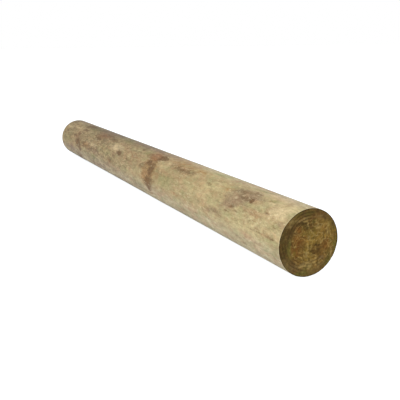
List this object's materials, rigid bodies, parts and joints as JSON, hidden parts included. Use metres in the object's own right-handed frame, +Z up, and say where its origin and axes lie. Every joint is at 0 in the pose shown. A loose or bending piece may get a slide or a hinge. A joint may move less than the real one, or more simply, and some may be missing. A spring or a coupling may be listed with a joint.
{
  "type": "round timber fence post",
  "caption": "Round peeled and treated pine post, slightly tapered, sawn square at both ends, set in the ground to carry fence rails or wire. Lies on its side.",
  "frame": {"origin": "on the ground line, straight under the middle of the post's length, as the post lies on its side", "axes": "+X along the post from its thin top end to its thick butt end, +Z up, +Y across"},
  "size_m": [1.8004, 0.164, 0.164],
  "materials": {
    "treated_pine": "peeled round pine, pressure treated: pale straw with green and brown mottling, and dark olive end grain",
    "knot_wood": "dense red-brown branch wood, cut flush with the surface"
  },
  "bodies": {
    "root": {"stem": "treated_pine", "lower_knot_1": "knot_wood", "lower_knot_2": "knot_wood", "lower_knot_3": "knot_wood", "lower_knot_4": "knot_wood", "middle_knot_1": "knot_wood", "middle_knot_2": "knot_wood", "middle_knot_3": "knot_wood", "middle_knot_4": "knot_wood", "middle_knot_5": "knot_wood", "middle_knot_6": "knot_wood", "middle_knot_7": "knot_wood", "upper_knot_1": "knot_wood", "upper_knot_2": "knot_wood", "upper_knot_3": "knot_wood", "upper_knot_4": "knot_wood", "upper_knot_5": "knot_wood", "pin_knot": "knot_wood"}
  },
  "joints": []
}
